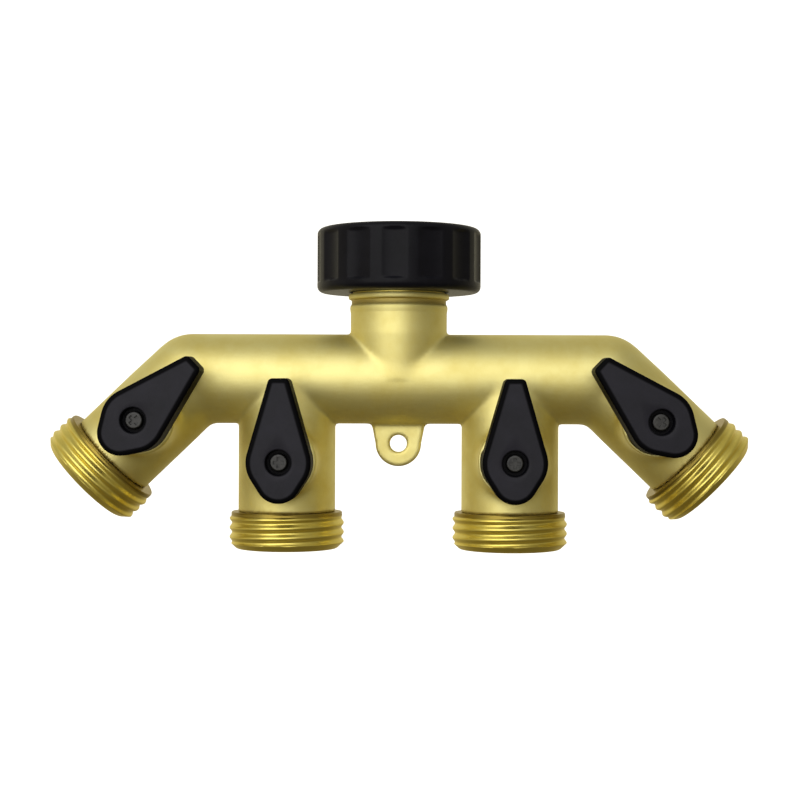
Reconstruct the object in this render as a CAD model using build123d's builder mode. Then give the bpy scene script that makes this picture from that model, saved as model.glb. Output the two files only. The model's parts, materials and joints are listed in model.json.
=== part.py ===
from build123d import *
import os
from math import cos, radians, sin

# Four-way garden hose splitter: a swivel inlet nut and a ball valve on each outlet. Millimetres.
# Origin at the centre of the coupling nut's mouth, +Z towards the tap, +X along the manifold,
# valve levers on the -Y side.
os.makedirs("parts", exist_ok=True)

# 3/4 inch garden hose thread, cut here as plain rings at the real pitch
pitch = 25.4 / 11.5
male_crest_r = 13.45
male_root_r = 12.05
female_crest_r = 12.3
female_root_r = 13.65
crest_half = 0.17

# Manifold casting
tube_z = -35.3
tube_r = 10.5
passage_r = 7.2
elbow_x = 48.4
outlet_x = 26.2
inner_arm_r = 11.35
outer_arm_r = 10.7
root_r = 10.4
elbow_r = 10.56
elbow_hollow_r = 7.4
elbow_angle = 43.8

# Neck and swivel joint
neck_top_z = -15.4
neck_r = 11.5
neck_low_r = 11.25
lip_r = 11.95
lip_height = 1.5
groove_r = 11.1
groove_height = 0.6
spigot_r = 9.2
spigot_depth = 9.5
bore_r = 7.5

# Coupling nut
nut_r = 19.2
nut_height = 15.1
nut_edge = 1.6
flute_count = 14
flute_r = 11.5
flute_depth = 0.7
flute_top = -1.3
flute_bottom = -12.9
flange_height = 2.4
swivel_r = 10.8
swivel_gap = 0.08
float_gap = 0.15
tail_flange_r = 12.1
tail_flange_height = 1.7
washer_height = 2.8
washer_r = 12.9
washer_hole_r = 8.0

# Valve, measured from the stem's axis along the outlet or out towards the lever
inner_pivot = 18.9
outer_pivot = 13.9
pivot_to_end = 20.9
nipple_start = 12.25
ball_r = 7.0
port_r = 4.5
seat_r = 8.6
seat_hole_r = 4.8
seat_near = 4.2
seat_far = 7.6
cavity_r = 8.65
socket_r = 9.05
nipple_stem_r = 9.0
nipple_bore_r = 7.4
bore_start = 12.4
bore_chamfer = 0.5
seal_r = 9.8
seal_height = 1.1
boss_r = 9.2
boss_face = 16.1
stem_r = 3.5
stem_hole_r = 3.6
stem_end = 20.0
shoulder_r = 4.5
shoulder_top = 10.2
shoulder_height = 1.3
tang_half = 1.3
tang_end = 5.1
flat_half = 2.6
o_ring_at = 12.9
o_ring_r = 0.62

# Lever: a tear-drop, wide at the stem and narrow at its tip
lever_back = 16.4
lever_face = 23.8
lever_round_r = 7.35
lever_heel_r = 5.2
lever_heel = 9.2
lever_tip = 18.8
tip_corner_r = 1.2
tip_half = 2.55
lever_draft = 0.12
lever_edge = 0.5
lever_wall = 1.7
lever_skin = 2.4
hub_r = 4.9
recess_r = 2.7
web_face = 21.1
screw_head_r = 2.05
screw_head_height = 1.5
screw_r = 1.45
screw_end = 14.2
slot_half = 0.4
slot_depth = 0.7
stop_inner_r = 5.3
stop_outer_r = 7.1
stop_half_angle = 20.0
stop_reach = 1.3
quarter_turn = 90.0

# Hanging tab under the manifold
tab_hole_z = -50.4
tab_hole_r = 2.0
tab_r = 5.35
tab_root_half = 6.25
tab_thickness = 3.0


def turn(section, points, mode=Mode.ADD):
    """Turn a closed outline, given as (radius, height) on the section plane, about its height axis."""
    with BuildSketch(section) as outline:
        with BuildLine():
            Polyline(*points, close=True)
        make_face()
    revolve(outline.sketch, axis=Axis(section.origin, section.y_dir), mode=mode)


def thread_outline(root, crest, first, count, step):
    """Points of a row of 60 degree thread rings: from each root up to a narrow crest and back."""
    flank = abs(crest - root) / 3**0.5
    points = []
    for ring in range(count):
        middle = first + ring * step
        side = 1 if step > 0 else -1
        points += [
            (root, middle - side * (crest_half + flank)),
            (crest, middle - side * crest_half),
            (crest, middle + side * crest_half),
            (root, middle + side * (crest_half + flank)),
        ]
    return points


def tear_drop(plane, inset):
    """Outline of the lever: the hull of a round at the stem, a rounder heel and two tip corners."""
    corner_r = max(tip_corner_r - inset, 0.4)
    corner_x = tip_half - inset - corner_r
    corner_y = lever_tip - inset - corner_r
    with BuildSketch(plane) as outline:
        Circle(lever_round_r - inset)
        with Locations((0, lever_heel_r - lever_heel)):
            Circle(lever_heel_r - inset)
        with Locations((corner_x, corner_y), (-corner_x, corner_y)):
            Circle(corner_r)
        make_hull()
    return outline.sketch


def write(part, name):
    """Name a finished piece and write it as one STEP file."""
    part.label = name
    export_step(part, f"parts/{name}.step")


upright = Plane(origin=(0, 0, 0), x_dir=(1, 0, 0), z_dir=(0, -1, 0))
down = elbow_angle
# Arms from left to right: number, x of the root on the tube's axis, angle below +X, pivot, radius
arms = [
    (1, -elbow_x, 180 + down, outer_pivot, outer_arm_r),
    (2, -outlet_x, 270, inner_pivot, inner_arm_r),
    (3, outlet_x, 270, inner_pivot, inner_arm_r),
    (4, elbow_x, 360 - down, outer_pivot, outer_arm_r),
]
valves = []
for number, root_x, angle, pivot, arm_r in arms:
    flow = Vector(cos(radians(angle)), 0, sin(radians(angle)))
    root = Vector(root_x, 0, tube_z)
    centre = root + flow * pivot
    front = Vector(0, -1, 0)
    # section: radius towards the lever, height along the flow; face: seen from the front, tip up
    section = Plane(origin=centre, x_dir=front, z_dir=front.cross(flow))
    face = Plane(origin=centre, x_dir=(-flow).cross(front), z_dir=front)
    valves.append((number, section, face, pivot, arm_r))


# Manifold casting: everything that is cast or drilled out of it first, then the outside
spigot_end = neck_top_z - spigot_depth
with BuildPart() as hollows:
    with BuildSketch(Plane.YZ.offset(-elbow_x)):
        with Locations((0, tube_z)):
            Circle(passage_r)
    extrude(amount=2 * elbow_x)
    turn(
        upright,
        [(0, neck_top_z + 1), (spigot_r + 0.02, neck_top_z + 1), (spigot_r + 0.02, spigot_end),
         (bore_r - 0.6, spigot_end), (bore_r - 0.6, tube_z), (0, tube_z)],
    )
    for number, section, face, pivot, arm_r in valves:
        seal_seat = nipple_start - seal_height - 0.1
        end = nipple_start + 1
        turn(
            section,
            [(0, -pivot), (port_r + 0.5, -pivot), (port_r + 0.5, -seat_far), (cavity_r, -seat_far),
             (cavity_r, seat_far), (socket_r, seat_far), (socket_r, seal_seat),
             (seal_r + 0.1, seal_seat), (seal_r + 0.1, end), (0, end)],
        )
        if abs(section.origin.X) > elbow_x:
            with Locations(section.origin - section.y_dir * pivot):
                Sphere(elbow_hollow_r)
        with BuildSketch(face):
            Circle(stem_hole_r)
        extrude(amount=boss_face + 1)
        with BuildSketch(face):
            Circle(shoulder_r + 0.1)
        extrude(amount=shoulder_top + 0.05)
        # Slot in the boss that stops the lever at both ends of its quarter turn
        slot_span = 2 * stop_half_angle + quarter_turn + 4
        slot_start = 270 + stop_half_angle + 2 - slot_span
        with BuildSketch(face.offset(boss_face - stop_reach - 0.4)):
            with BuildLine():
                outer = CenterArc((0, 0), stop_outer_r + 0.25, slot_start, slot_span)
                inner = CenterArc((0, 0), stop_inner_r - 0.25, slot_start, slot_span)
                Line(outer @ 0, inner @ 0)
                Line(outer @ 1, inner @ 1)
            make_face()
        extrude(amount=stop_reach + 1)

with BuildPart() as body:
    with BuildSketch(Plane.YZ.offset(-elbow_x)):
        with Locations((0, tube_z)):
            Circle(tube_r)
    extrude(amount=2 * elbow_x)
    lip_z = neck_top_z - lip_height
    groove_z = lip_z - groove_height
    turn(
        upright,
        [
            (0, neck_top_z),
            (lip_r, neck_top_z),
            (lip_r, lip_z),
            (groove_r, lip_z - 0.15),
            (groove_r, groove_z),
            (neck_r, groove_z - 0.4),
            (neck_low_r, tube_z + tube_r),
            (root_r, tube_z + 2),
            (root_r, tube_z),
            (0, tube_z),
        ],
    )
    for number, section, face, pivot, arm_r in valves:
        turn(
            section,
            [(0, -pivot), (root_r, -pivot), (root_r, 2 - pivot), (arm_r, 9 - pivot),
             (arm_r, nipple_start), (0, nipple_start)],
        )
        if abs(section.origin.X) > elbow_x:
            with Locations(section.origin - section.y_dir * pivot):
                Sphere(elbow_r)
        with BuildSketch(face):
            Circle(boss_r)
        extrude(amount=boss_face)
    with BuildSketch(Plane.XZ.offset(-tab_thickness / 2)):
        with BuildLine():
            arc = CenterArc((0, tab_hole_z), tab_r, 180, 180)
            Polyline(
                arc @ 1,
                (tab_root_half, tube_z - tube_r + 0.5),
                (tab_root_half, tube_z),
                (-tab_root_half, tube_z),
                (-tab_root_half, tube_z - tube_r + 0.5),
                arc @ 0,
            )
        make_face()
        with Locations((0, tab_hole_z)):
            Circle(tab_hole_r, mode=Mode.SUBTRACT)
    extrude(amount=tab_thickness)
    add(hollows.part, mode=Mode.SUBTRACT)
write(body.part, "manifold_casting")

# Brass tailpiece that carries the nut: flange, swivel journal and a spigot pressed into the neck
flange_top = -nut_height + flange_height + float_gap + tail_flange_height
with BuildPart() as tailpiece:
    turn(
        upright,
        [
            (bore_r, flange_top),
            (tail_flange_r, flange_top),
            (tail_flange_r, flange_top - tail_flange_height),
            (swivel_r, flange_top - tail_flange_height),
            (swivel_r, neck_top_z),
            (spigot_r, neck_top_z),
            (spigot_r, spigot_end + 0.1),
            (bore_r, spigot_end + 0.1),
        ],
    )
write(tailpiece.part, "inlet_tailpiece")

with BuildPart() as washer:
    turn(
        upright,
        [(washer_hole_r, flange_top), (washer_r, flange_top),
         (washer_r, flange_top + washer_height), (washer_hole_r, flange_top + washer_height)],
    )
    fillet(washer.edges(), radius=0.4)
write(washer.part, "inlet_washer")

# Swivel nut
with BuildPart() as nut:
    with BuildSketch(Plane.XY.offset(-nut_height)):
        Circle(nut_r)
    extrude(amount=nut_height)
    fillet(nut.edges(), radius=nut_edge)
    with BuildSketch(Plane.XY.offset(flute_bottom)):
        with PolarLocations(nut_r - flute_depth + flute_r, flute_count):
            Circle(flute_r)
    extrude(amount=flute_top - flute_bottom, mode=Mode.SUBTRACT)
    thread_end = flange_top + washer_height + 0.25
    first_crest = thread_end + crest_half + 0.8
    turn(
        upright,
        [(0, -nut_height), (swivel_r + swivel_gap, -nut_height),
         (swivel_r + swivel_gap, -nut_height + flange_height),
         (female_root_r, -nut_height + flange_height)]
        + thread_outline(female_root_r, female_crest_r, first_crest, 3, pitch)
        + [(female_root_r + 0.4, 0), (0, 0)],
        Mode.SUBTRACT,
    )
write(nut.part, "coupling_nut")

for number, section, face, pivot, arm_r in valves:
    # Machined outlet: thread rings outside, a stem that closes the ball chamber inside
    with BuildPart() as nipple:
        last_crest = pivot_to_end - 1.0
        turn(
            section,
            [(port_r + 0.5, seat_far + 0.05), (nipple_stem_r, seat_far + 0.05),
             (nipple_stem_r, nipple_start), (male_root_r, nipple_start)]
            + thread_outline(male_root_r, male_crest_r, last_crest - 3 * pitch, 4, pitch)
            + [(male_root_r, pivot_to_end), (nipple_bore_r + bore_chamfer, pivot_to_end),
               (nipple_bore_r, pivot_to_end - bore_chamfer), (nipple_bore_r, bore_start),
               (port_r + 0.5, bore_start - 2)],
        )
    write(nipple.part, f"outlet_nipple_{number}")

    with BuildPart() as seal:
        turn(
            section,
            [(nipple_stem_r + 0.03, nipple_start - seal_height), (seal_r, nipple_start - seal_height),
             (seal_r, nipple_start - 0.02), (nipple_stem_r + 0.03, nipple_start - 0.02)],
        )
        fillet(seal.edges(), radius=0.25)
    write(seal.part, f"nipple_seal_{number}")

    for name, side in (("upstream_seat", -1), ("downstream_seat", 1)):
        with BuildPart() as seat:
            turn(
                section,
                [(seat_hole_r, side * seat_near), (seat_r, side * seat_near),
                 (seat_r, side * seat_far), (seat_hole_r, side * seat_far)],
            )
            with Locations(section.origin):
                Sphere(ball_r + 0.05, mode=Mode.SUBTRACT)
        write(seat.part, f"{name}_{number}")

    with BuildPart() as ball:
        with Locations(section.origin):
            Sphere(ball_r)
        turn(section, [(0, -ball_r), (port_r, -ball_r), (port_r, ball_r), (0, ball_r)], Mode.SUBTRACT)
        with BuildSketch(face.offset(tang_end)):
            Rectangle(2 * ball_r, 2 * tang_half + 0.1)
        extrude(amount=ball_r, mode=Mode.SUBTRACT)
    write(ball.part, f"ball_{number}")

    with BuildPart() as stem:
        with BuildSketch(face.offset(shoulder_top - shoulder_height)):
            Circle(shoulder_r)
        extrude(amount=shoulder_height)
        with BuildSketch(face.offset(shoulder_top)):
            Circle(stem_r)
        extrude(amount=stem_end - shoulder_top)
        with BuildSketch(face.offset(tang_end + 0.1)):
            Rectangle(2 * shoulder_r - 1.2, 2 * tang_half)
        extrude(amount=shoulder_top - shoulder_height - tang_end - 0.1)
        # Two flats that turn with the lever, a groove for the O-ring and a hole for the screw
        with BuildSketch(face.offset(lever_back - 0.1)):
            with Locations((flat_half + stem_r, 0), (-flat_half - stem_r, 0)):
                Rectangle(2 * stem_r, 2 * stem_r + 1)
        extrude(amount=stem_end - lever_back + 0.1, mode=Mode.SUBTRACT)
        with BuildSketch(face.offset(o_ring_at - o_ring_r - 0.1)):
            Circle(stem_r)
            Circle(stem_r - 2 * o_ring_r + 0.04, mode=Mode.SUBTRACT)
        extrude(amount=2 * o_ring_r + 0.2, mode=Mode.SUBTRACT)
        with BuildSketch(face.offset(screw_end - 0.3)):
            Circle(screw_r)
        extrude(amount=stem_end - screw_end + 0.3, mode=Mode.SUBTRACT)
    write(stem.part, f"stem_{number}")

    with BuildPart() as o_ring:
        with BuildSketch(section):
            with Locations((o_ring_at, stem_hole_r - 0.03 - o_ring_r)):
                Circle(o_ring_r)
        revolve(axis=Axis(section.origin, section.x_dir))
    write(o_ring.part, f"stem_o_ring_{number}")

    # Plastic lever: drafted tear-drop shell with a hub that fits the stem's flats
    with BuildPart() as lever:
        loft([tear_drop(face.offset(lever_back), 0), tear_drop(face.offset(lever_face), lever_draft)])
        fillet(lever.faces().sort_by(Axis.Y)[0].edges(), radius=lever_edge)
        with BuildSketch(face.offset(lever_back)):
            add(tear_drop(Plane.XY, lever_wall))
            Circle(hub_r, mode=Mode.SUBTRACT)
        extrude(amount=lever_face - lever_skin - lever_back, mode=Mode.SUBTRACT)
        with BuildSketch(face.offset(lever_back)):
            with BuildLine():
                start = 270 - stop_half_angle
                outer = CenterArc((0, 0), stop_outer_r, start, 2 * stop_half_angle)
                inner = CenterArc((0, 0), hub_r - 0.2, start, 2 * stop_half_angle)
                Line(outer @ 0, inner @ 0)
                Line(outer @ 1, inner @ 1)
            make_face()
        extrude(amount=lever_face - lever_skin - lever_back)
        with BuildSketch(face.offset(lever_back)):
            with BuildLine():
                outer = CenterArc((0, 0), stop_outer_r, start, 2 * stop_half_angle)
                inner = CenterArc((0, 0), stop_inner_r, start, 2 * stop_half_angle)
                Line(outer @ 0, inner @ 0)
                Line(outer @ 1, inner @ 1)
            make_face()
        extrude(amount=-stop_reach)
        with BuildSketch(face.offset(lever_back)):
            Circle(stem_r + 0.03)
            with Locations((flat_half + stem_r + 0.03, 0), (-flat_half - stem_r - 0.03, 0)):
                Rectangle(2 * stem_r, 2 * stem_r + 1, mode=Mode.SUBTRACT)
        extrude(amount=stem_end + 0.05 - lever_back, mode=Mode.SUBTRACT)
        with BuildSketch(face.offset(lever_back)):
            Circle(screw_r + 0.15)
        extrude(amount=lever_face - lever_back, mode=Mode.SUBTRACT)
        with BuildSketch(face.offset(web_face)):
            Circle(recess_r)
        extrude(amount=lever_face - web_face, mode=Mode.SUBTRACT)
    write(lever.part, f"lever_{number}")

    with BuildPart() as screw:
        with BuildSketch(face.offset(web_face)):
            Circle(screw_head_r)
        extrude(amount=screw_head_height)
        fillet(screw.faces().sort_by(Axis.Y)[0].edges(), radius=0.5)
        with BuildSketch(face.offset(screw_end)):
            Circle(screw_r - 0.02)
        extrude(amount=web_face - screw_end)
        with BuildSketch(face.offset(web_face + screw_head_height)):
            Rectangle(2 * slot_half, 2 * screw_head_r - 1.6)
            Rectangle(2 * screw_head_r - 1.6, 2 * slot_half)
        extrude(amount=-slot_depth, mode=Mode.SUBTRACT)
    write(screw.part, f"lever_screw_{number}")
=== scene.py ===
import json
from math import radians

import bmesh
import bpy
import numpy as np
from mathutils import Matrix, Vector


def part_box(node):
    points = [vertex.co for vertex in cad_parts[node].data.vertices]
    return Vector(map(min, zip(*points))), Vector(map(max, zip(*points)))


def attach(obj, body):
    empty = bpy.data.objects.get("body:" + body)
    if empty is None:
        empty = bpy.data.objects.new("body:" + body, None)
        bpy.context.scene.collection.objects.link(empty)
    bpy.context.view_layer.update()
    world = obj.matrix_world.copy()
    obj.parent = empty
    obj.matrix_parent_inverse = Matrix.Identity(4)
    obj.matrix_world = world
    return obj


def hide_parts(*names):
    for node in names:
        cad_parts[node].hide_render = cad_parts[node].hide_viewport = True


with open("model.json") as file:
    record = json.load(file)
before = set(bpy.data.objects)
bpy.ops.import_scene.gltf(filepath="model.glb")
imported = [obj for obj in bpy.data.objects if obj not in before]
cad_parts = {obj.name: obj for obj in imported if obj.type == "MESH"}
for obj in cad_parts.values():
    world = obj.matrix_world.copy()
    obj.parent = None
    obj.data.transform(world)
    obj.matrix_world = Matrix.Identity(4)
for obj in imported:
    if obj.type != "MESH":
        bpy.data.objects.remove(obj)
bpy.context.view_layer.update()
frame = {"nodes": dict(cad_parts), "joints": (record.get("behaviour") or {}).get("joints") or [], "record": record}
print("frame loaded:", len(frame["nodes"]), "nodes")

mm = 0.001


# A CAD node's box, low and high corner in millimetres: metres / 0.001.
def boxMm(node):
    low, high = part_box(node)
    return np.array(low) / mm, np.array(high) / mm


jointAt = {j["name"]: np.array(j["pos_m"]) / mm for j in frame["joints"]}
mountAt = {m["name"]: m for m in frame["record"]["mounts"]}
towardLever = np.array([0.0, -1.0, 0.0])
rightward, upward, origin = np.array([1.0, 0, 0]), np.array([0, 0, 1.0]), np.zeros(3)

# The four valves: ball centre, flow direction, the direction across the lever and the distance to the open end.
valves = []
for number, side in enumerate(("left_angled", "left_straight", "right_straight", "right_angled"), start=1):
    flow = np.array(mountAt["outlet_" + side]["axis"], float)
    flow /= np.linalg.norm(flow)
    endFace = np.array(mountAt["outlet_seat_" + side]["pos_m"]) / mm
    centre = jointAt[f"valve_turn_{number}"]
    valves.append({
        "number": number,
        "body": f"valve_{number}",
        "centre": centre,
        "flow": flow,
        "across": np.cross(-flow, towardLever),
        "reach": float((endFace - centre) @ flow),
        "angled": abs(flow[0]) > 0.1,
    })
nutLow, nutHigh = boxMm("coupling_nut")


# A grid of points, rows along a profile and columns round a closed loop: face (r, c) joins points (r, c),
# (r, c + 1), (r + 1, c + 1) and (r + 1, c). With rowsClosed the last row meets the first; with capFirst a fan of
# triangles about the first row's mean point closes it.
def gridMesh(name, grid, rowsClosed=False, capFirst=False):
    rows, columns = grid.shape[:2]
    index = np.arange(rows * columns).reshape(rows, columns)
    below = index if rowsClosed else index[:-1]
    above = np.roll(index, -1, 0) if rowsClosed else index[1:]
    quads = np.stack([below, np.roll(below, -1, 1), np.roll(above, -1, 1), above], -1).reshape(-1, 4)
    points = grid.reshape(-1, 3)
    faces = quads.tolist()
    if capFirst:
        middle = len(points)
        points = np.vstack([points, grid[0].mean(0)])
        faces += np.stack([index[0], np.roll(index[0], -1), np.full(columns, middle)], -1).tolist()
    mesh = bpy.data.meshes.new(name)
    mesh.from_pydata((points * mm).tolist(), [], faces)
    mesh.validate()
    return mesh


# Points closer than the merge distance become one, and all faces then turn their front outward.
def outward(mesh, mergeMm=0.001):
    work = bmesh.new()
    work.from_mesh(mesh)
    bmesh.ops.remove_doubles(work, verts=work.verts, dist=mergeMm * mm)
    bmesh.ops.recalc_face_normals(work, faces=work.faces)
    work.to_mesh(mesh)
    work.free()


# Smooth shading, with an edge sharp where its two faces meet at more than the angle in degrees.
def smoothShade(mesh, angle):
    mesh.shade_smooth()
    if angle < 180:
        mesh.set_sharp_from_angle(angle=radians(angle))


# Hands a finished mesh over to the frame: it rides on a body, stands for CAD nodes and takes a slot's finish.
def place(name, mesh, body, nodes, material):
    piece = bpy.data.objects.new(name, mesh)
    bpy.context.scene.collection.objects.link(piece)
    mesh.materials.clear()
    mesh.materials.append(material)
    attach(piece, body)
    if nodes:
        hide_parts(*nodes)


# One procedural material and short ways to add nodes to it. Every noise is laid over the Object coordinates.
class Recipe:
    def __init__(self, name):
        self.material = bpy.data.materials.new(name)
        self.material.use_nodes = True
        self.tree = self.material.node_tree
        self.shader = self.tree.nodes["Principled BSDF"]
        self.place = self.add("ShaderNodeTexCoord").outputs["Object"]

    # A new node of a kind, with its own settings.
    def add(self, kind, **settings):
        node = self.tree.nodes.new(kind)
        for key, value in settings.items():
            setattr(node, key, value)
        return node

    # A wire from one node's output to another's input.
    def link(self, source, target):
        self.tree.links.new(source, target)

    # A noise's value from 0 to 1: fractal noise of (position * scale).
    def noise(self, scale, detail=2.0, rough=0.5):
        node = self.add("ShaderNodeTexNoise")
        node.inputs["Scale"].default_value = scale
        node.inputs["Detail"].default_value = detail
        node.inputs["Roughness"].default_value = rough
        self.link(self.place, node.inputs["Vector"])
        return node.outputs["Fac"]

    # outLow + (outHigh - outLow) * (source - low) / (high - low), held between its ends.
    def between(self, source, low, high, outLow, outHigh):
        node = self.add("ShaderNodeMapRange")
        for key, value in zip(("From Min", "From Max", "To Min", "To Max"), (low, high, outLow, outHigh)):
            node.inputs[key].default_value = value
        self.link(source, node.inputs["Value"])
        return node.outputs["Result"]

    # The colour at the source's value, straight between the stops (value, colour).
    def colours(self, source, stops):
        node = self.add("ShaderNodeValToRGB")
        ramp = node.color_ramp
        ramp.elements[0].position, ramp.elements[0].color = stops[0][0], (*stops[0][1], 1)
        ramp.elements[1].position, ramp.elements[1].color = stops[-1][0], (*stops[-1][1], 1)
        for at, colour in stops[1:-1]:
            ramp.elements.new(at).color = (*colour, 1)
        self.link(source, node.inputs["Fac"])
        return node.outputs["Color"]

    # first * (1 - factor) + second * factor, where second is a fixed colour.
    def mixColour(self, factor, first, second):
        node = self.add("ShaderNodeMix", data_type="RGBA")
        self.link(factor, node.inputs[0])
        self.link(first, node.inputs[6])
        node.inputs[7].default_value = (*second, 1)
        return node.outputs[2]

    # Each layer is (height, depth in metres, strength): the surface rises by height * depth over the one before.
    def relief(self, layers):
        normal = None
        for height, depth, strength in layers:
            bump = self.add("ShaderNodeBump")
            bump.inputs["Distance"].default_value = depth
            bump.inputs["Strength"].default_value = strength
            self.link(height, bump.inputs["Height"])
            if normal:
                self.link(normal, bump.inputs["Normal"])
            normal = bump.outputs["Normal"]
        self.link(normal, self.shader.inputs["Normal"])


castFinish = {
    "pale": (0.90, 0.815, 0.36),
    "warm": (0.84, 0.73, 0.27),
    "edge": (0.95, 0.90, 0.55),
    # colour of the painted shade and tarnish in a marked seam
    "shadeAndTarnish": (0.48, 0.37, 0.10),
    "roughLow": 0.50,
    "roughHigh": 0.58,
    "cloud": 95.0,
    "wave": 240.0,
    "grain": 2600.0,
    "fineGrain": 6500.0,
}


# Blasted cast brass: clouds of two yellows, paler on ridges, browner in grooves, over three sizes of grain.
def castBrass(setting):
    r = Recipe("castBrass")
    r.shader.inputs["Metallic"].default_value = 1.0
    cloud = r.noise(setting["cloud"], 4.0, 0.6)
    speck = r.noise(setting["grain"], 2.0, 0.6)
    colour = r.colours(cloud, [(0.32, setting["warm"]), (0.58, setting["pale"])])
    pointed = r.add("ShaderNodeNewGeometry").outputs["Pointiness"]
    colour = r.mixColour(r.between(pointed, 0.53, 0.62, 0.0, 0.6), colour, setting["edge"])
    colour = r.mixColour(r.between(pointed, 0.46, 0.38, 0.0, 0.6), colour, setting["warm"])
    colour = r.mixColour(r.between(speck, 0.35, 0.65, 0.0, 0.14), colour, setting["warm"])
    # A marked seam turns dark brown: painted shade together with tarnish, used in the neck collar's groove.
    shadeAndTarnish = r.add("ShaderNodeAttribute", attribute_name="shadeAndTarnish").outputs["Fac"]
    colour = r.mixColour(r.between(shadeAndTarnish, 0.0, 1.0, 0.0, 0.8), colour, setting["shadeAndTarnish"])
    r.link(colour, r.shader.inputs["Base Color"])
    r.link(r.between(cloud, 0.3, 0.7, setting["roughHigh"], setting["roughLow"]), r.shader.inputs["Roughness"])
    fine = r.noise(setting["fineGrain"], 1.0, 0.5)
    wave = r.noise(setting["wave"], 2.0, 0.5)
    r.relief([(wave, 0.00010, 0.3), (speck, 0.00004, 0.4), (fine, 0.00003, 0.35)])
    return r.material


turnedFinish = {
    "gold": (0.86, 0.71, 0.165),
    "light": (0.90, 0.765, 0.21),
    "tarnish": (0.79, 0.63, 0.125),
    # dark brown of the painted shade at the nipples' shoulders, under the casting's end
    "shadeAndTarnish": (0.26, 0.18, 0.035),
    "roughLow": 0.32,
    "roughHigh": 0.40,
    "cloud": 120.0,
    "grain": 2400.0,
}


# Machined brass: a clear gold, a little duller in clouds, and dark brown painted shade where the marked seam value
# is above 0.3.
def turnedBrass(setting):
    r = Recipe("turnedBrass")
    r.shader.inputs["Metallic"].default_value = 1.0
    cloud = r.noise(setting["cloud"], 3.0, 0.5)
    grain = r.noise(setting["grain"], 2.0, 0.5)
    colour = r.colours(cloud, [(0.3, setting["tarnish"]), (0.5, setting["gold"]), (0.7, setting["light"])])
    shadeAndTarnish = r.add("ShaderNodeAttribute", attribute_name="shadeAndTarnish").outputs["Fac"]
    colour = r.mixColour(r.between(shadeAndTarnish, 0.2, 0.42, 0.0, 0.85), colour, setting["shadeAndTarnish"])
    r.link(colour, r.shader.inputs["Base Color"])
    r.link(r.between(grain, 0.35, 0.65, setting["roughLow"], setting["roughHigh"]), r.shader.inputs["Roughness"])
    r.relief([(cloud, 0.00003, 0.12)])
    return r.material


# In each finish, edge is the darker colour of the painted shade on a lever's rim and recess, and the shine factor
# after it says how much shine is left there.
plasticFinish = {
    "levers": {
        "low": (0.010, 0.010, 0.017), "high": (0.015, 0.0145, 0.025), "edge": (0.002, 0.002, 0.003),
        "rough": (0.42, 0.56), "cloud": 180.0, "grain": 5200.0, "shine": 0.22, "rimShadeShine": 0.15,
    },
    "nut": {
        "low": (0.0045, 0.0045, 0.0075), "high": (0.0075, 0.0075, 0.012), "edge": (0.002, 0.002, 0.003),
        "rough": (0.30, 0.42), "cloud": 180.0, "grain": 4200.0, "shine": 0.11, "rimShadeShine": 0.15,
    },
}


# Moulded plastic with a fine grain. Where a piece is marked for painted shade, its colour darkens and it shines
# less: painted shade on a lever's sides, bevel and screw recess.
def mouldedPlastic(name, setting):
    r = Recipe(name)
    cloud = r.noise(setting["cloud"], 3.0, 0.6)
    grain = r.noise(setting["grain"], 2.0, 0.5)
    paintedRimShade = r.add("ShaderNodeAttribute", attribute_name="paintedRimShade").outputs["Fac"]
    colour = r.colours(cloud, [(0.3, setting["low"]), (0.7, setting["high"])])
    r.link(r.mixColour(paintedRimShade, colour, setting["edge"]), r.shader.inputs["Base Color"])
    r.link(r.between(grain, 0.3, 0.7, *setting["rough"]), r.shader.inputs["Roughness"])
    shine = r.between(paintedRimShade, 0.0, 1.0, setting["shine"], setting["shine"] * setting["rimShadeShine"])
    r.link(shine, r.shader.inputs["Specular IOR Level"])
    r.relief([(cloud, 0.00005, 0.25), (grain, 0.00002, 0.4)])
    return r.material


rubberFinish = {
    "low": (0.010, 0.010, 0.010),
    "high": (0.022, 0.021, 0.020),
    "rough": (0.62, 0.8),
    "cloud": 400.0,
    "grain": 3000.0,
}


# Black rubber: dull, with a coarse bloom.
def softRubber(setting):
    r = Recipe("softRubber")
    cloud = r.noise(setting["cloud"], 3.0, 0.6)
    r.link(r.colours(cloud, [(0.3, setting["low"]), (0.7, setting["high"])]), r.shader.inputs["Base Color"])
    r.link(r.between(cloud, 0.3, 0.7, *setting["rough"]), r.shader.inputs["Roughness"])
    r.relief([(r.noise(setting["grain"]), 0.00005, 0.5)])
    return r.material


ptfeFinish = {
    "low": (0.74, 0.73, 0.70),
    "high": (0.84, 0.83, 0.80),
    "rough": (0.35, 0.5),
    "cloud": 300.0,
    "depth": 0.001,        # how far light goes in, in metres
}


# Milky white fluoropolymer that lets a little light in.
def waxyPtfe(setting):
    r = Recipe("waxyPtfe")
    cloud = r.noise(setting["cloud"], 3.0, 0.6)
    r.link(r.colours(cloud, [(0.3, setting["low"]), (0.7, setting["high"])]), r.shader.inputs["Base Color"])
    r.link(r.between(cloud, 0.3, 0.7, *setting["rough"]), r.shader.inputs["Roughness"])
    r.shader.inputs["Subsurface Weight"].default_value = 0.1
    r.shader.inputs["Subsurface Radius"].default_value = (setting["depth"],) * 3
    return r.material


platedFinish = {
    "balls": {"low": (0.72,) * 3, "high": (0.86,) * 3, "rough": (0.08, 0.18), "cloud": 500.0, "grain": 2500.0},
    # The screws: a dark steel grey, darkened further as painted shade for the recess each one sits in.
    "screws": {
        "low": (0.035, 0.035, 0.037), "high": (0.075,) * 3, "rough": (0.35, 0.5), "cloud": 500.0, "grain": 2500.0,
    },
}


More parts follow.
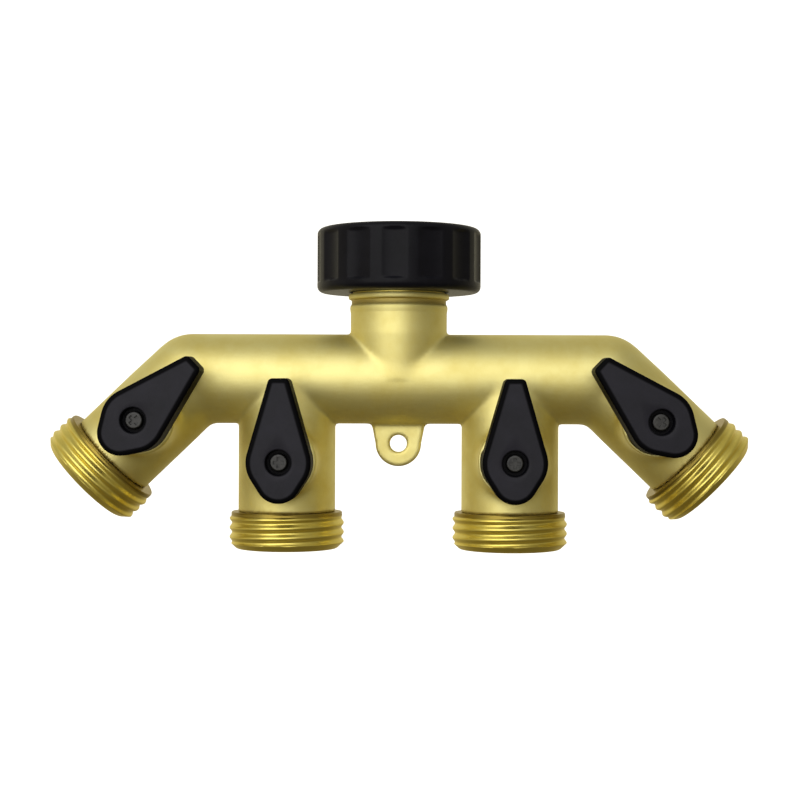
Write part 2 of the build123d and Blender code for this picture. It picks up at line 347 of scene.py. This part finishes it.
# Plated metal between two greys, with a fine grain.
def platedMetal(name, setting):
    r = Recipe(name)
    r.shader.inputs["Metallic"].default_value = 1.0
    cloud = r.noise(setting["cloud"], 4.0, 0.6)
    r.link(r.colours(cloud, [(0.3, setting["low"]), (0.7, setting["high"])]), r.shader.inputs["Base Color"])
    r.link(r.between(cloud, 0.3, 0.7, *setting["rough"]), r.shader.inputs["Roughness"])
    r.relief([(r.noise(setting["grain"]), 0.00002, 0.4)])
    return r.material


finishes = {
    "cast_brass": castBrass(castFinish),
    "machined_brass": turnedBrass(turnedFinish),
    "charcoal_plastic": mouldedPlastic("leverPlastic", plasticFinish["levers"]),
    "black_plastic": mouldedPlastic("nutPlastic", plasticFinish["nut"]),
    "black_rubber": softRubber(rubberFinish),
    "white_ptfe": waxyPtfe(ptfeFinish),
    "plated_brass": platedMetal("chromePlate", platedFinish["balls"]),
    "zinc_steel": platedMetal("zincSteelInShade", platedFinish["screws"]),
}
for entry in frame["record"]["subparts"]:
    node = frame["nodes"][entry["node"]]
    node.data.materials.clear()
    node.data.materials.append(finishes[entry["material_slot"]])
print("finishes ready")

casting = {
    "tubeR": 10.5,
    "straightR": 11.35,
    "angledR": 10.7,
    "rootR": 10.4,
    "taper": 9.0,          # how far from the tube's axis an arm reaches its full radius
    "elbowR": 10.5,
    "neckR": 11.3,
    "neckTop": -17.0,
    "bossR": 8.0,
    "bossFace": 16.1,
    "bossRound": 0.7,
    "tabThickness": 3.0,
    "tabR": 5.35,
    "tabRootHalf": 6.25,
    "blend": 1.1,          # how wide the soft joins between tube, arms and neck are
    "bossBlend": 3.4,
    "voxel": 0.55,
    "turns": 6,            # how often the points are moved
    "farthest": 0.6,       # how far at most each time
    "slopeStep": 0.02,
    "leastSlope": 0.2,
    "reach": 1.6,          # how far outside the CAD shape the field still draws points
    "angledPivot": 13.9,
    "straightPivot": 18.9,
    "pastEnd": -8.65,      # where an arm's casting stops, from the nipple's open end
    "angledTaper": 0.15,
    "elbowBlend": 1.6,     # inside a bend the blend is this many times as wide
    "elbowFrom": 3.0,      # how deep inside the bend it starts
    "elbowOver": 5.0,      # how much deeper it is full
    "tabEdge": 0.5,
    "tabBlend": 1.6,
    "holeRound": 0.7,
    "collarTop": -15.8,
    "collarLow": -19.0,
    "collarR": 10.9,       # the neck tucks inside this radius behind its collar
    "waterR": 7.4,
    "neckBoreR": 9.3,
    "chamberR": 9.95,
    "chamberBack": 14.0,
    "stemHoleR": 7.45,
    "beyond": 60.0,        # long enough for a hollow to run out of the casting
    "hollowSkin": 0.25,    # points nearer to a hollow than this stay
    "hollowOver": 0.5,     # and this much farther off they move fully
}
farOff = 9.0               # a distance at which a hole cuts nothing
tabHole = np.array(mountAt["hanging_hole"]["pos_m"]) / mm
tabHoleR = mountAt["hanging_hole"]["dims"]["r_mm"]
pivotAt = {True: casting["angledPivot"], False: casting["straightPivot"]}
tubeZ = float(jointAt["valve_turn_2"][2] + pivotAt[False])
elbowX = float(abs(jointAt["valve_turn_4"][0]) - pivotAt[True] * abs(valves[3]["flow"][0]))
tubeStart, tubeMiddle = np.array([-elbowX, 0, tubeZ]), np.array([0, 0, tubeZ])


# Distance to a round bar, d = |max((a, b), 0)| + min(max(a, b), 0) - edge, where a is the distance from the axis
# less the radius plus edge and b is the distance past an end plus edge, so the rims are rounded by edge.
def barDistance(points, start, direction, length, radius, edge=0.0):
    local = points - start
    along = local @ direction
    away = np.linalg.norm(local - along[:, None] * direction, axis=1)
    outR = away - radius + edge
    outL = np.abs(along - length / 2) - length / 2 + edge
    outside = np.hypot(np.maximum(outR, 0), np.maximum(outL, 0))
    return outside + np.minimum(np.maximum(outR, outL), 0) - edge


# Soft union of two distances: min(a, b) - width / 6 * max(1 - |a - b| / width, 0) ** 3.
def softUnion(first, second, width):
    near = np.clip(1 - np.abs(first - second) / np.maximum(width, 1e-6), 0, None)
    return np.minimum(first, second) - width / 6 * near**3


# The outside of the casting, as the soft union of tube, arms, neck, bosses and tab, less the hole. Arms and neck
# have radius start + (full - start) * distance / taper: no wider than the tube at its axis, so their joins with it
# run as a V. At an elbow the blend only acts inside the bend, growing with the depth in it.
def castField(points, setting):
    field = barDistance(points, tubeStart, rightward, 2 * elbowX, setting["tubeR"])
    for v in valves:
        pivot = pivotAt[v["angled"]]
        root = v["centre"] - v["flow"] * pivot
        full = setting["angledR"] if v["angled"] else setting["straightR"]
        start = full - setting["angledTaper"] if v["angled"] else setting["rootR"]
        widen = np.clip(((points - root) @ v["flow"]) / setting["taper"], 0, 1)
        radius = start + (full - start) * widen
        arm = barDistance(points, root, v["flow"], pivot + v["reach"] + setting["pastEnd"], radius)
        width = np.full(len(points), setting["blend"])
        if v["angled"]:
            arm = np.minimum(arm, np.linalg.norm(points - root, axis=1) - setting["elbowR"])
            inner = v["flow"] - rightward * np.sign(v["flow"][0])
            inner /= np.linalg.norm(inner)
            depth = (points - root) @ inner
            width *= np.clip((depth - setting["elbowFrom"]) / setting["elbowOver"], 0, 1) * setting["elbowBlend"]
        field = softUnion(field, arm, width)
    rise = np.clip((points[:, 2] - tubeZ) / setting["tubeR"], 0, 1)
    neckR = setting["rootR"] + (setting["neckR"] - setting["rootR"]) * rise
    neck = barDistance(points, tubeMiddle, upward, setting["neckTop"] - tubeZ, neckR)
    field = softUnion(field, neck, setting["blend"])
    size = setting["bossFace"], setting["bossR"], setting["bossRound"]
    for v in valves:
        field = softUnion(field, barDistance(points, v["centre"], towardLever, *size), setting["bossBlend"])
    field = softUnion(field, tabField(points, setting), setting["tabBlend"])
    hole = np.hypot(points[:, 0] - tabHole[0], points[:, 2] - tabHole[2]) - tabHoleR
    hole = np.where(points[:, 2] < tubeZ - setting["tubeR"] - 0.5, hole, farOff)
    return -softUnion(-field, hole, setting["holeRound"])


# The tab: half width R + (root - R) * height / root height above the hole and a round of radius R below it, cut to
# |y| < thickness / 2, with the edges eased as on the bars.
def tabField(points, setting):
    x, y, z = np.abs(points[:, 0]), points[:, 1], points[:, 2]
    rise = np.clip((z - tabHole[2]) / (tubeZ - setting["tubeR"] - tabHole[2]), 0, 1.2)
    half = setting["tabR"] + (setting["tabRootHalf"] - setting["tabR"]) * rise
    side = np.where(z > tabHole[2], x - half, np.hypot(x, z - tabHole[2]) - setting["tabR"])
    edge = setting["tabEdge"]
    a, b = side + edge, np.abs(y) - setting["tabThickness"] / 2 + edge
    flat = np.hypot(np.maximum(a, 0), np.maximum(b, 0)) + np.minimum(np.maximum(a, b), 0) - edge
    return np.maximum(flat, z - tubeZ)


# Distance to what is hollow inside, the least of the distances to water ways, ball chambers and stem holes.
def hollowField(points, setting):
    long = setting["beyond"]
    field = barDistance(points, tubeStart, rightward, 2 * elbowX, setting["waterR"])
    field = np.minimum(field, barDistance(points, tubeMiddle, upward, long, setting["neckBoreR"]))
    for v in valves:
        back = v["centre"] - v["flow"] * setting["chamberBack"]
        field = np.minimum(field, barDistance(points, back, v["flow"], long, setting["chamberR"]))
        field = np.minimum(field, barDistance(points, v["centre"], towardLever, long, setting["stemHoleR"]))
    return field


# The CAD casting, merged and remeshed in even voxels, whose outside points then move by
# -slope * field / |slope|^2, a few times over, onto the softly joined shape. Points near a hollow stay where they
# are, and the top of the neck tucks inside its collar.
def castBody(setting):
    source = frame["nodes"]["manifold_casting"].data.copy()
    outward(source, 0.002)
    draft = bpy.data.objects.new("castDraft", source)
    bpy.context.scene.collection.objects.link(draft)
    remesh = draft.modifiers.new("remesh", "REMESH")
    remesh.mode = "VOXEL"
    remesh.voxel_size = setting["voxel"] * mm
    mesh = bpy.data.meshes.new_from_object(draft.evaluated_get(bpy.context.evaluated_depsgraph_get()))
    bpy.data.objects.remove(draft)
    flat = np.empty(len(mesh.vertices) * 3, np.float32)
    mesh.vertices.foreach_get("co", flat)
    points = flat.reshape(-1, 3).astype(float) / mm
    hold = np.clip((hollowField(points, setting) - setting["hollowSkin"]) / setting["hollowOver"], 0, 1)
    hold *= np.abs(castField(points, setting)) < setting["reach"]
    step, most = setting["slopeStep"], setting["farthest"]
    for turn in range(setting["turns"]):
        here = castField(points, setting)
        slope = np.stack([
            (castField(points + step * axis, setting) - castField(points - step * axis, setting)) / (2 * step)
            for axis in np.eye(3)
        ], 1)
        slope /= np.maximum((slope**2).sum(1), setting["leastSlope"])[:, None]
        points -= slope * np.clip(here * hold, -most, most)[:, None]
    away = np.hypot(points[:, 0], points[:, 1])
    high = points[:, 2] > setting["collarLow"]
    points[:, :2] *= np.where(high, np.minimum(1, setting["collarR"] / np.maximum(away, 1)), 1)[:, None]
    points[:, 2] = np.minimum(points[:, 2], setting["collarTop"])
    mesh.vertices.foreach_set("co", (points * mm).astype(np.float32).ravel())
    mesh.update()
    smoothShade(mesh, 180)
    print("casting:", len(mesh.polygons), "faces")
    place("castManifold", mesh, "body", ["manifold_casting"], finishes["cast_brass"])


castBody(casting)


# Profile points (radius, height) carried round an axis:
# start + radius * (cos a * side + sin a * other) + height * up.
def roundGrid(radius, height, start, up, side, columns):
    angle = np.linspace(0, 2 * np.pi, columns, endpoint=False)
    other = np.cross(up, side)
    ring = np.cos(angle)[:, None] * side + np.sin(angle)[:, None] * other
    radius = np.broadcast_to(np.asarray(radius, float).reshape(len(height), -1), (len(height), columns))
    return start + radius[..., None] * ring[None] + np.asarray(height, float)[:, None, None] * up


# Height of a screw thread across its pitch: h = (crestHalf + flank - distance from the crest) / flank, held
# between 0 and 1, with its corners eased as h - 0.06 * sin(2 pi h).
def threadShape(turns, crestHalf, flank):
    away = np.abs(turns - np.round(turns))
    ridge = np.clip((crestHalf + flank - away) / flank, 0, 1)
    return ridge - 0.06 * np.sin(2 * np.pi * ridge)


# Marks how strongly each point lies in a seam or groove, from 0 to 1, for the brass finishes to darken: painted
# shade, with some tarnish in the neck's groove.
def markShadeAndTarnish(mesh, shade):
    mesh.attributes.new("shadeAndTarnish", "FLOAT", "POINT").data.foreach_set("value", shade.astype(np.float32))


collar = {
    "lipR": 11.82,
    "top": -15.4,
    "lipLow": -16.7,
    "grooveR": 11.1,
    "grooveLow": -18.0,
    "beadR": 11.45,
    "neckR": 11.27,
    "columns": 160,
}


# The turned top of the neck, its profile points carried round: a lip, a narrow groove under it and a low bead
# where the cast neck starts.
def neckCollar(setting):
    top, low, groove = setting["top"], setting["lipLow"], setting["grooveLow"]
    lip, bead, inner = setting["lipR"], setting["beadR"], setting["grooveR"]
    profile = np.array([
        (9.5, top), (lip - 0.3, top), (lip - 0.08, top - 0.08), (lip, top - 0.3), (lip, low + 0.3),
        (lip - 0.1, low + 0.08), (lip - 0.3, low), (inner, low - 0.25), (inner, groove + 0.25),
        (bead - 0.2, groove - 0.02), (bead - 0.05, groove - 0.25), (bead, groove - 0.6), (bead, groove - 0.9),
        (bead - 0.06, groove - 1.4), (setting["neckR"] + 0.02, groove - 2.0), (setting["neckR"], groove - 2.4),
        (9.5, groove - 2.5),
    ])
    grid = roundGrid(profile[:, 0], profile[:, 1], origin, upward, rightward, setting["columns"])
    mesh = gridMesh("neckCollar", grid, rowsClosed=True)
    # The groove under the lip is marked for painted shade and tarnish, darkest inside the groove.
    depths = [-low - 0.1, -low + 0.1, -groove - 0.2, -groove + 0.1]
    shade = np.interp(-profile[:, 1], depths, [0, 1, 1, 0])
    markShadeAndTarnish(mesh, np.repeat(shade, setting["columns"]))
    outward(mesh)
    smoothShade(mesh, 38)
    place("neckCollar", mesh, "body", [], finishes["cast_brass"])


neckCollar(collar)

nipple = {
    "pitch": 25.4 / 11.5,
    "crestR": 13.43,
    "rootR": 12.88,
    "ringLength": 0.95,
    "shoulderR": 13.0,
    "ringDrop": 0.25,      # how far the shoulder's ring falls back at its foot
    "ringFoot": 0.3,
    "fadeFrom": 0.4,       # how far from the shoulder the thread starts to rise
    "fadeLength": 1.1,
    "coneR": 11.8,         # the open end's cone: radius at the end and how fast it widens
    "coneSlope": 1.05,
    "boreR": 7.4,
    "portR": 5.0,
    "portEnd": 10.1,
    "boreStart": 12.1,
    "inner": 7.65,         # where the stem of the nipple starts, from the ball's centre
    "stemR": 9.0,
    "shoulder": 12.25,
    # length of the painted shade band past the shoulder
    "shadeAndTarnish": 1.4,
    "columns": 160,
    "threadRows": 96,
}


# Outlet nipple, outside radius = root + (crest - root) * (0.5 + 0.5 cos(2 pi (height / pitch - angle / 2 pi))), a
# ridge that climbs one pitch a turn. It fades in past the shoulder's ring and a cone cuts it back at the open end.
def outletNipple(v, setting):
    end = v["reach"]
    angle = np.linspace(0, 2 * np.pi, setting["columns"], endpoint=False)
    stem, port, bore = setting["stemR"], setting["portR"], setting["boreR"]
    inside = np.array([
        (stem, setting["shoulder"]), (stem, setting["inner"]), (port, setting["inner"]),
        (port, setting["portEnd"]), (bore, setting["boreStart"]), (bore, end - 0.75), (bore + 0.12, end - 0.35),
        (bore + 0.5, end - 0.04), (bore + 0.8, end), (11.4, end), (11.7, end - 0.05),
    ])
    height = np.linspace(end - 0.25, setting["shoulder"] + 0.02, setting["threadRows"])
    turns = height[:, None] / setting["pitch"] - angle[None] / (2 * np.pi)
    ridge = 0.5 + 0.5 * np.cos(2 * np.pi * turns)
    fade = np.clip((height[:, None] - setting["shoulder"] - setting["fadeFrom"]) / setting["fadeLength"], 0, 1)
    radius = setting["rootR"] + (setting["crestR"] - setting["rootR"]) * ridge * fade
    radius = np.minimum(radius, setting["coneR"] + (end - height[:, None]) * setting["coneSlope"])
    foot = np.clip(1 - (height - setting["shoulder"]) / setting["ringFoot"], 0, 1)
    ring = setting["shoulderR"] - setting["ringDrop"] * foot**2
    ringed = height[:, None] < setting["shoulder"] + setting["ringLength"]
    radius = np.where(ringed, np.maximum(radius, ring[:, None]), radius)
    allRadius = np.vstack([np.repeat(inside[:, :1], setting["columns"], 1), radius])
    allHeight = np.concatenate([inside[:, 1], height])
    grid = roundGrid(allRadius, allHeight, v["centre"], v["flow"], towardLever, setting["columns"])
    mesh = gridMesh(f"outletNipple{v['number']}", grid, rowsClosed=True)
    # The band just past the shoulder is marked for painted shade, as if under the casting's end.
    shade = np.clip(1 - (allHeight - setting["shoulder"]) / setting["shadeAndTarnish"], 0, 1)
    markShadeAndTarnish(mesh, np.repeat(shade, setting["columns"]))
    outward(mesh)
    smoothShade(mesh, 50)
    name = f"outlet_nipple_{v['number']}"
    place(f"outletNipple{v['number']}", mesh, "body", [name], finishes["machined_brass"])


for v in valves:
    outletNipple(v, nipple)
print("casting, collar and nipples done")

nut = {
    "outR": float(nutHigh[0]),
    "height": float(nutHigh[2] - nutLow[2]),
    "edge": 1.5,
    "flutes": 14,
    "fluteTurn": 10.4,     # degrees from the front to the nearest rib
    "fluteDepth": 0.62,
    "flutePower": 0.8,
    "ribHalf": 0.16,       # half a rib's share of a flute's angle
    "bandTop": 1.2,
    "easeTop": 0.8,
    "bandLow": 2.1,
    "easeLow": 0.6,
    "pitch": 25.4 / 11.5,
    "rootR": 13.65,
    "crestR": 12.32,
    "crestHalf": 0.085,    # half a crest's share of the pitch
    "threadLow": -7.8,
    "threadTop": -0.9,
    "runIn": 0.9,
    "runOut": 1.0,
    "cavityLow": -12.7,
    "holeR": 10.88,
    "columns": 336,
}


# Coupling nut: an upright profile carried round, with grip flutes outside and a helical thread inside. Between two
# ribs the outside falls back by depth * ease * sin(pi / 2 * share of the half flute) ** power, and the ease
# 3 e^2 - 2 e^3 runs out towards the plain bands at the top and bottom.
def couplingNut(setting):
    angle = np.linspace(0, 2 * np.pi, setting["columns"], endpoint=False)
    full, high, edge = setting["outR"], setting["height"], setting["edge"]
    root, hole, cavity = setting["rootR"], setting["holeR"], setting["cavityLow"]
    bend = np.linspace(0, np.pi / 2, 9)
    topEdge = np.stack([full - edge + edge * np.sin(bend), -edge + edge * np.cos(bend)], 1)
    side = np.stack([np.full(40, full), np.linspace(-edge, edge - high, 42)[1:-1]], 1)
    lowEdge = np.stack([full - edge + edge * np.cos(bend), edge - high - edge * np.sin(bend)], 1)
    outer = np.vstack([topEdge, side, lowEdge])
    rib = (np.degrees(angle) - 270 - setting["fluteTurn"]) / (360 / setting["flutes"])
    across = np.abs(rib - np.round(rib))
    share = np.clip((across - setting["ribHalf"]) / (0.5 - setting["ribHalf"]), 0, 1)
    dip = np.sin(share * np.pi / 2) ** setting["flutePower"]
    depthUp = np.clip((-outer[:, 1] - setting["bandTop"]) / setting["easeTop"], 0, 1)
    depthDown = np.clip((outer[:, 1] + high - setting["bandLow"]) / setting["easeLow"], 0, 1)
    ease = depthUp * depthDown
    ease = ease * ease * (3 - 2 * ease)
    outerR = outer[:, :1] - setting["fluteDepth"] * ease[:, None] * dip[None]
    threadLow, threadTop = setting["threadLow"], setting["threadTop"]
    innerHeight = np.linspace(threadLow, threadTop, 64)
    turns = innerHeight[:, None] / setting["pitch"] - angle[None] / (2 * np.pi)
    flank = (root - setting["crestR"]) / 3**0.5 / setting["pitch"]
    fade = np.clip((innerHeight - threadLow) / setting["runIn"], 0, 1)
    fade = fade * np.clip((threadTop - innerHeight) / setting["runOut"], 0, 1)
    ridge = threadShape(turns, setting["crestHalf"], flank) * fade[:, None]
    innerR = root - (root - setting["crestR"]) * ridge
    under = np.array([
        (hole + 0.4, -high), (hole, -high + 0.4), (hole, cavity - 0.2), (hole + 0.2, cavity),
        (root - 0.3, cavity), (root, cavity + 0.3),
    ])
    mouth = np.array([(root, -0.6), (root + 0.5, 0.0)])
    columns = setting["columns"]
    radius = np.vstack([outerR, np.repeat(under[:, :1], columns, 1), innerR, np.repeat(mouth[:, :1], columns, 1)])
    height = np.concatenate([outer[:, 1], under[:, 1], innerHeight, mouth[:, 1]])
    grid = roundGrid(radius, height, origin, upward, rightward, columns)
    mesh = gridMesh("couplingNut", grid, rowsClosed=True)
    outward(mesh)
    smoothShade(mesh, 40)
    place("couplingNut", mesh, "swivel_nut", ["coupling_nut"], finishes["black_plastic"])


couplingNut(nut)

lever = {
    "roundR": 7.35,
    "heelR": 5.2,
    "heel": 9.2,
    "tip": 18.8,
    "tipHalf": 2.55,
    "cornerR": 1.2,
    "back": 16.4,
    "face": 23.8,
    "draft": 0.12,
    "bevel": 0.9,
    "bevelDrop": 0.5,
    "wall": 1.7,
    "skin": 2.4,
    "hubR": 4.9,
    "socketR": 3.53,
    "recessR": 2.85,
    "recessLip": 0.35,
    # Rows that get the painted shade: the skirt and the eased edge in full, and the recess and the web around the
    # screw at the recess level below.
    "rimShadeRows": slice(0, 9),        # the skirt and the eased edge
    "recessRows": slice(14, 21),     # the recess and the web around the screw
    "recessShadeLevel": 0.75,
    "web": 21.1,
    "webBack": 20.05,
    "holeR": 1.6,
    "columns": 240,
    "directions": 20000,
}


# Outline of the lever as a closed loop: for each direction, the farthest reach of four rounds' hull. The hull's
# support in a direction is the largest of (centre . direction + radius), and the loop's point there is the support
# times the direction plus the support's slope times the direction's normal.
def leverLoop(setting, inset, columns):
    corner = max(setting["cornerR"] - inset, 0.25)
    rounds = np.array([
        (0, 0, setting["roundR"] - inset),
        (0, setting["heelR"] - setting["heel"], setting["heelR"] - inset),
        (setting["tipHalf"] - inset - corner, setting["tip"] - inset - corner, corner),
        (-setting["tipHalf"] + inset + corner, setting["tip"] - inset - corner, corner),
    ])
    fine = np.linspace(0, 2 * np.pi, setting["directions"], endpoint=False)
    way = np.stack([np.cos(fine), np.sin(fine)], 1)
    best = np.argmax(way @ rounds[:, :2].T + rounds[:, 2], axis=1)
    loop = rounds[best, :2] + rounds[best, 2:] * way
    step = np.linalg.norm(np.roll(loop, -1, 0) - loop, axis=1)
    run = np.concatenate([[0], np.cumsum(step)])
    loop = np.vstack([loop, loop[:1]])
    spots = np.linspace(0, run[-1], columns, endpoint=False)
    return np.stack([np.interp(spots, run, loop[:, 0]), np.interp(spots, run, loop[:, 1])], 1)


# Lever: outline loops at rising insets form the skirt, the eased edge and the face; then circles form the screw's
# recess, and below them the web, the hub and the hollow inside the skirt. Each row is one loop at one height.
def valveLever(v, setting):
    columns = setting["columns"]
    outline = leverLoop(setting, 0.0, columns)
    start = np.arctan2(outline[:, 1], outline[:, 0])
    circle = np.stack([np.cos(start), np.sin(start)], 1)
    back, face, lip = setting["back"], setting["face"], setting["recessLip"]
    rows = []
    bend = np.linspace(0, np.pi / 2, 6)
    rows.append((leverLoop(setting, 0.25, columns), back))
    rows.append((leverLoop(setting, 0.0, columns), back + 0.2))
    rows.append((leverLoop(setting, setting["draft"] * 0.8, columns), face - setting["bevelDrop"] - 0.15))
    for turn in bend:
        inset = setting["draft"] * 0.85 + setting["bevel"] * (1 - np.cos(turn))
        rows.append((leverLoop(setting, inset, columns), face - setting["bevelDrop"] * (1 - np.sin(turn))))
    inner = leverLoop(setting, setting["draft"] + setting["bevel"] + lip, columns)
    rows.append((inner, face))
    recess, web, webBack, hub = setting["recessR"], setting["web"], setting["webBack"], setting["hubR"]
    for share in (0.25, 0.5, 0.75):
        rows.append((inner * (1 - share) + circle * (recess + lip) * share, face))
    for r, h in (
        (recess + lip, face), (recess + 0.1, face - 0.08), (recess, face - 0.35), (recess, web + 0.1),
        (recess - 0.1, web), (setting["holeR"], web), (setting["holeR"], webBack), (setting["socketR"], webBack),
        (setting["socketR"], back + 0.1), (hub - 0.2, back + 0.1), (hub, back + 0.3),
        (hub, face - setting["skin"]),
    ):
        rows.append((circle * r, h))
    ceiling = leverLoop(setting, setting["wall"] + 0.3, columns)
    rows.append((ceiling, face - setting["skin"]))
    rows.append((leverLoop(setting, setting["wall"], columns), face - setting["skin"] - 0.4))
    rows.append((leverLoop(setting, setting["wall"] - 0.25, columns), back))
    grid = np.stack([
        v["centre"] + loop[:, :1] * v["across"] - loop[:, 1:] * v["flow"] + h * towardLever for loop, h in rows
    ])
    mesh = gridMesh(f"valveLever{v['number']}", grid, rowsClosed=True)
    # Marks the painted shade on the lever's sides, eased edge and screw recess.
    rimShadeMask = np.zeros((len(rows), columns), np.float32)
    rimShadeMask[setting["rimShadeRows"]] = 1
    rimShadeMask[setting["recessRows"]] = setting["recessShadeLevel"]
    mesh.attributes.new("paintedRimShade", "FLOAT", "POINT").data.foreach_set("value", rimShadeMask.ravel())
    outward(mesh)
    smoothShade(mesh, 40)
    node, slot = f"lever_{v['number']}", "charcoal_plastic"
    place(f"valveLever{v['number']}", mesh, v["body"], [node], finishes[slot])


for v in valves:
    valveLever(v, lever)
print("nut and levers done")

studio = {
    "radius": 3.0,
    "bend": 1.2,
    "top": 5.0,
    "drop": 1.0,           # how far the floor lies below the straight nipples
    "centreR": 0.002,
    "bendRows": 24,
    "columns": 96,
    "paint": (0.92, 0.92, 0.92, 1),
    "rough": 0.9,
    "glow": 1.0,
}


# A white cove all round: flat floor, a quarter-round bend (reach + bend sin t, bend - bend cos t) and a wall, one
# profile carried round the upright axis.
def sweepStage(setting):
    low = boxMm("outlet_nipple_2")[0][2] * mm - setting["drop"]
    radius, bend = setting["radius"], setting["bend"]
    turn = np.linspace(0, np.pi / 2, setting["bendRows"])
    reach = np.concatenate([[setting["centreR"]], radius - bend + bend * np.sin(turn), [radius]]) / mm
    height = (np.concatenate([[0.0], bend - bend * np.cos(turn), [setting["top"]]]) + low) / mm
    grid = roundGrid(reach, height, origin, upward, rightward, setting["columns"])
    mesh = gridMesh("studioSweep", grid, capFirst=True)
    mesh.shade_smooth()
    material = bpy.data.materials.new("studioWhite")
    material.use_nodes = True
    shader = material.node_tree.nodes["Principled BSDF"]
    shader.inputs["Base Color"].default_value = setting["paint"]
    shader.inputs["Roughness"].default_value = setting["rough"]
    shader.inputs["Emission Color"].default_value = (1, 1, 1, 1)
    shader.inputs["Emission Strength"].default_value = setting["glow"]
    mesh.materials.append(material)
    sweep = bpy.data.objects.new("studioSweep", mesh)
    bpy.context.scene.collection.objects.link(sweep)
    sweep.visible_glossy = False
    sweep.visible_diffuse = False
    sweep.visible_shadow = False


# A rectangular softbox, whose -Z axis points from where it is to what it lights.
def areaLight(name, setting):
    light = bpy.data.lights.new(name, "AREA")
    light.shape = "RECTANGLE"
    light.size, light.size_y = setting["size"]
    light.energy = setting["power"]
    lamp = bpy.data.objects.new(name, light)
    bpy.context.scene.collection.objects.link(lamp)
    lamp.location = setting["at"]
    lamp.rotation_euler = (Vector(setting["toward"]) - lamp.location).to_track_quat("-Z", "Y").to_euler()


sweepStage(studio)
softbox = {"at": (-0.26, -0.82, 0.28), "toward": (0.0, 0.0, tubeZ * mm), "size": (1.15, 1.1), "power": 6.2}
areaLight("softboxKey", softbox)

room = {
    "low": (0.125, 0.105, 0.060),
    "level": (0.42, 0.385, 0.27),
    "high": (0.38, 0.365, 0.30),
    "lowAt": 0.18,
    "levelAt": 0.5,
    "highAt": 0.80,
    "left": 0.27,
    "behind": 1.0,
    "behindFrom": 0.2,
}


# Soft room light: the colour runs from low through level to high with the direction's z, and its strength is
# 1 - left * x + behind * (y - behindFrom) / (1 - behindFrom), the last part never below zero.
def studioAir(setting):
    world = bpy.data.worlds.new("studioAir")
    bpy.context.scene.world = world
    world.use_nodes = True
    tree = world.node_tree
    link = tree.links.new
    split = tree.nodes.new("ShaderNodeSeparateXYZ")
    link(tree.nodes.new("ShaderNodeTexCoord").outputs["Generated"], split.inputs[0])

    # toMin + (toMax - toMin) * (value - fromMin) / (1 - fromMin) of one axis of the direction, between its ends.
    def mapped(axis, fromMin, toMin, toMax):
        node = tree.nodes.new("ShaderNodeMapRange")
        for key, value in (("From Min", fromMin), ("To Min", toMin), ("To Max", toMax)):
            node.inputs[key].default_value = value
        link(split.outputs[axis], node.inputs["Value"])
        return node.outputs["Result"]

    ramp = tree.nodes.new("ShaderNodeValToRGB")
    link(mapped("Z", -1.0, 0.0, 1.0), ramp.inputs["Fac"])
    first, last = ramp.color_ramp.elements
    first.position, first.color = setting["lowAt"], (*setting["low"], 1)
    last.position, last.color = setting["highAt"], (*setting["high"], 1)
    ramp.color_ramp.elements.new(setting["levelAt"]).color = (*setting["level"], 1)
    total = tree.nodes.new("ShaderNodeMath")
    link(mapped("X", -1.0, 1.0 + setting["left"], 1.0 - setting["left"]), total.inputs[0])
    link(mapped("Y", setting["behindFrom"], 0.0, setting["behind"]), total.inputs[1])
    background = tree.nodes["Background"]
    link(total.outputs[0], background.inputs["Strength"])
    link(ramp.outputs["Color"], background.inputs["Color"])


studioAir(room)

camera = {
    "away": 380.0,
    "side": 6.2,
    "up": -40.2,
    "scale": 4.25,         # how much of the image's width a millimetre takes at the object
    "width": 800,
    "sensor": 36.0,
    "yaw": 0.883,
    "roll": -0.22,
}
lens = bpy.data.cameras.new("frontCamera")
lens.sensor_width = camera["sensor"]
lens.lens = camera["scale"] * camera["away"] / camera["width"] * camera["sensor"]
lens.clip_start = 0.01
eye = bpy.data.objects.new("frontCamera", lens)
bpy.context.scene.collection.objects.link(eye)
eye.location = (camera["side"] * mm, -camera["away"] * mm, camera["up"] * mm)
eye.rotation_euler = (radians(90), radians(camera["roll"]), radians(camera["yaw"]))
bpy.context.scene.camera = eye
bpy.context.scene.view_settings.view_transform = "Standard"
print("studio and camera ready")
